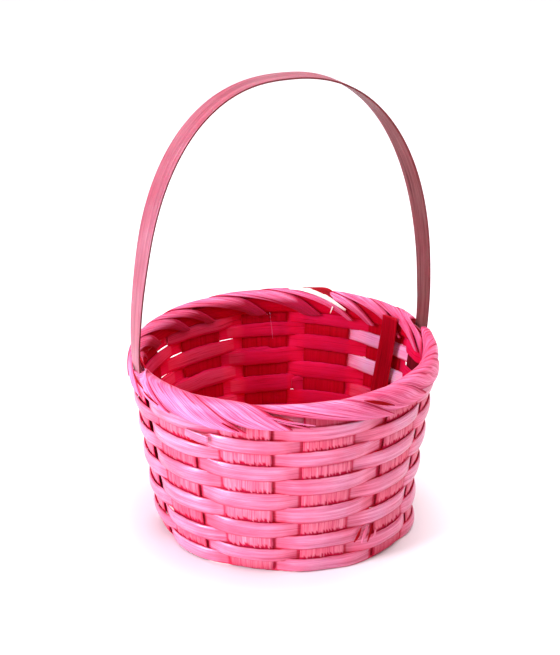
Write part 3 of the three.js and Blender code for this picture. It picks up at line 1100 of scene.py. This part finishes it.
def handle():
    """The handle's one strip, twisted a little on its way up from each leg."""
    profile = handle_profile()
    x, height = profile.T
    swell = np.sin(math.pi * np.clip((height - ARCH_SHOULDER) / 105.0, 0.0, 1.0))
    twist = HANDLE_TWIST * smooth((height - ARCH_FOOT) / 30.0) + HANDLE_SWELL * swell
    twist = np.radians(twist) * smooth(np.abs(x) / 40.0)
    centre = np.stack([x, np.zeros(len(x)), height], axis=-1)
    side = np.stack([np.sin(twist), -np.cos(twist), np.zeros(len(x))], axis=-1)
    across = HANDLE_WIDTH / 2.0 * np.linspace(-1.0, 1.0, HANDLE_COLUMNS)
    grid = refine(centre[:, None, :] + across[None, :, None] * side[:, None, :], HANDLE_MESH_STEP)
    # Painted shade on the legs below the rim, where they go into the weave.
    above = smooth((grid[:, HANDLE_COLUMNS // 2, 2] - RIM_FOOT) / 4.0)[:, None]
    piece = strip_piece(
        "handle_strip",
        grid,
        HANDLE_THICKNESS,
        [HANDLE_OUT, HANDLE_IN],
        HANDLE_RIDGE,
        above,
        edge_slot=1,
        edge_thickness=0.9,
    )
    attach(piece, "root")
    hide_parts("handle")


def inner_splint():
    """The dark upright splint inside the wall, leaning a little."""
    radius, height, lean, slant = SPLINT_PATH.T[:, :, None]
    columns = np.linspace(-1.0, 1.0, 13)
    angle = SPLINT_ANGLE + columns * arc_angle(SPLINT_WIDTH / 2.0, radius) + lean
    grid = refine(ring_point(radius, angle, height + slant * columns), SPLINT_MESH_STEP)
    piece = strip_piece("dark_upright", grid, SPLINT_THICKNESS, [DARK_SPLINT_AND_SHADE, DARK_SPLINT_AND_SHADE])
    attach(piece, "root")
    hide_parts("inner_splint")


# ---------------------------------------------------------------------------------------------
# Stage. Places and sizes here are in metres.

FLOOR_SIZE = 6.0
LAMP_AIM = (0.0, 0.0, 0.08)
# Name, place, size, power in watts and colour. A place is a distance, an angle from the
# camera's side and a height.
LAMPS = [
    ("key", (2.0, -56.0, 1.15), 0.7, 36.0, (0.95, 0.96, 1.0)),
    ("window", (1.6, -58.0, 0.2), 0.4, 26.0, (0.82, 0.84, 1.0)),
    ("fill", (1.0, 50.0, 2.3), 2.0, 37.0, (1.0, 0.91, 0.88)),
    ("top", (0.4, 176.0, 2.2), 1.3, 40.0, (1.0, 1.0, 0.98)),
]
SKY_STRENGTH = 0.5

CAMERA_DISTANCE = 0.8
CAMERA_ELEVATION = math.radians(21.4)
CAMERA_AIM = (SHIFT[0] * MM, SHIFT[1] * MM, 0.11)
CAMERA_LENS = 92.6
CAMERA_SHIFT = (-0.0047, -0.0347)


def plain(name, colour, roughness):
    """A material of one colour."""
    material = bpy.data.materials.new(name)
    material.use_nodes = True
    shader = material.node_tree.nodes["Principled BSDF"]
    shader.inputs["Base Color"].default_value = (*colour, 1.0)
    shader.inputs["Roughness"].default_value = roughness
    return material


def floor():
    """A wide flat floor under the basket."""
    size = FLOOR_SIZE
    mesh = bpy.data.meshes.new("floor")
    corners = [(-size, -size, 0.0), (size, -size, 0.0), (size, size, 0.0), (-size, size, 0.0)]
    mesh.from_pydata(corners, [], [(0, 1, 2, 3)])
    mesh.materials.append(plain("floor", (0.79, 0.75, 0.8), 0.9))
    piece = bpy.data.objects.new("floor", mesh)
    bpy.context.scene.collection.objects.link(piece)


def point_at(obj, direction):
    """Turns a lamp or the camera towards a direction."""
    obj.rotation_mode = "QUATERNION"
    obj.rotation_quaternion = direction.to_track_quat("-Z", "Y")


def lamp(name, where, size, power, colour):
    """A round lamp. where is its distance, its angle from the camera's side and its height."""
    distance, angle, height = where
    place = tuple(ring_point(distance, VIEW_ANGLE + angle, height))
    data = bpy.data.lights.new(name, "AREA")
    data.shape = "DISK"
    data.size = size
    data.energy = power
    data.color = colour
    obj = bpy.data.objects.new(name, data)
    obj.location = place
    point_at(obj, Vector(LAMP_AIM) - Vector(place))
    bpy.context.scene.collection.objects.link(obj)


def lights():
    """An even pale sky and the lamps."""
    world = bpy.data.worlds.new("studio")
    bpy.context.scene.world = world
    world.use_nodes = True
    background = world.node_tree.nodes["Background"]
    background.inputs["Color"].default_value = (1.0, 1.0, 1.0, 1.0)
    background.inputs["Strength"].default_value = SKY_STRENGTH
    for name, where, size, power, colour in LAMPS:
        lamp(name, where, size, power, colour)


def camera():
    """The camera, in front of the basket and looking down on it a little."""
    height, level = math.sin(CAMERA_ELEVATION), math.cos(CAMERA_ELEVATION)
    away = Vector(ring_point(level, VIEW_ANGLE, height))
    data = bpy.data.cameras.new("camera")
    data.sensor_width = 36.0
    data.lens = CAMERA_LENS
    data.shift_x, data.shift_y = CAMERA_SHIFT
    data.clip_start = 0.01
    data.clip_end = 50.0
    obj = bpy.data.objects.new("camera", data)
    obj.location = Vector(CAMERA_AIM) + away * CAMERA_DISTANCE
    point_at(obj, -away)
    bpy.context.scene.collection.objects.link(obj)
    bpy.context.scene.camera = obj


# ---------------------------------------------------------------------------------------------
# The scene

bpy.context.scene.view_settings.view_transform = "Standard"
camera()
floor()
lights()
stake_strips()
for weaver_row in range(len(WEAVER_HEIGHTS)):
    weaver(weaver_row)
rim_leaves()
loose_ends()
rim_hoop()
handle()
inner_splint()
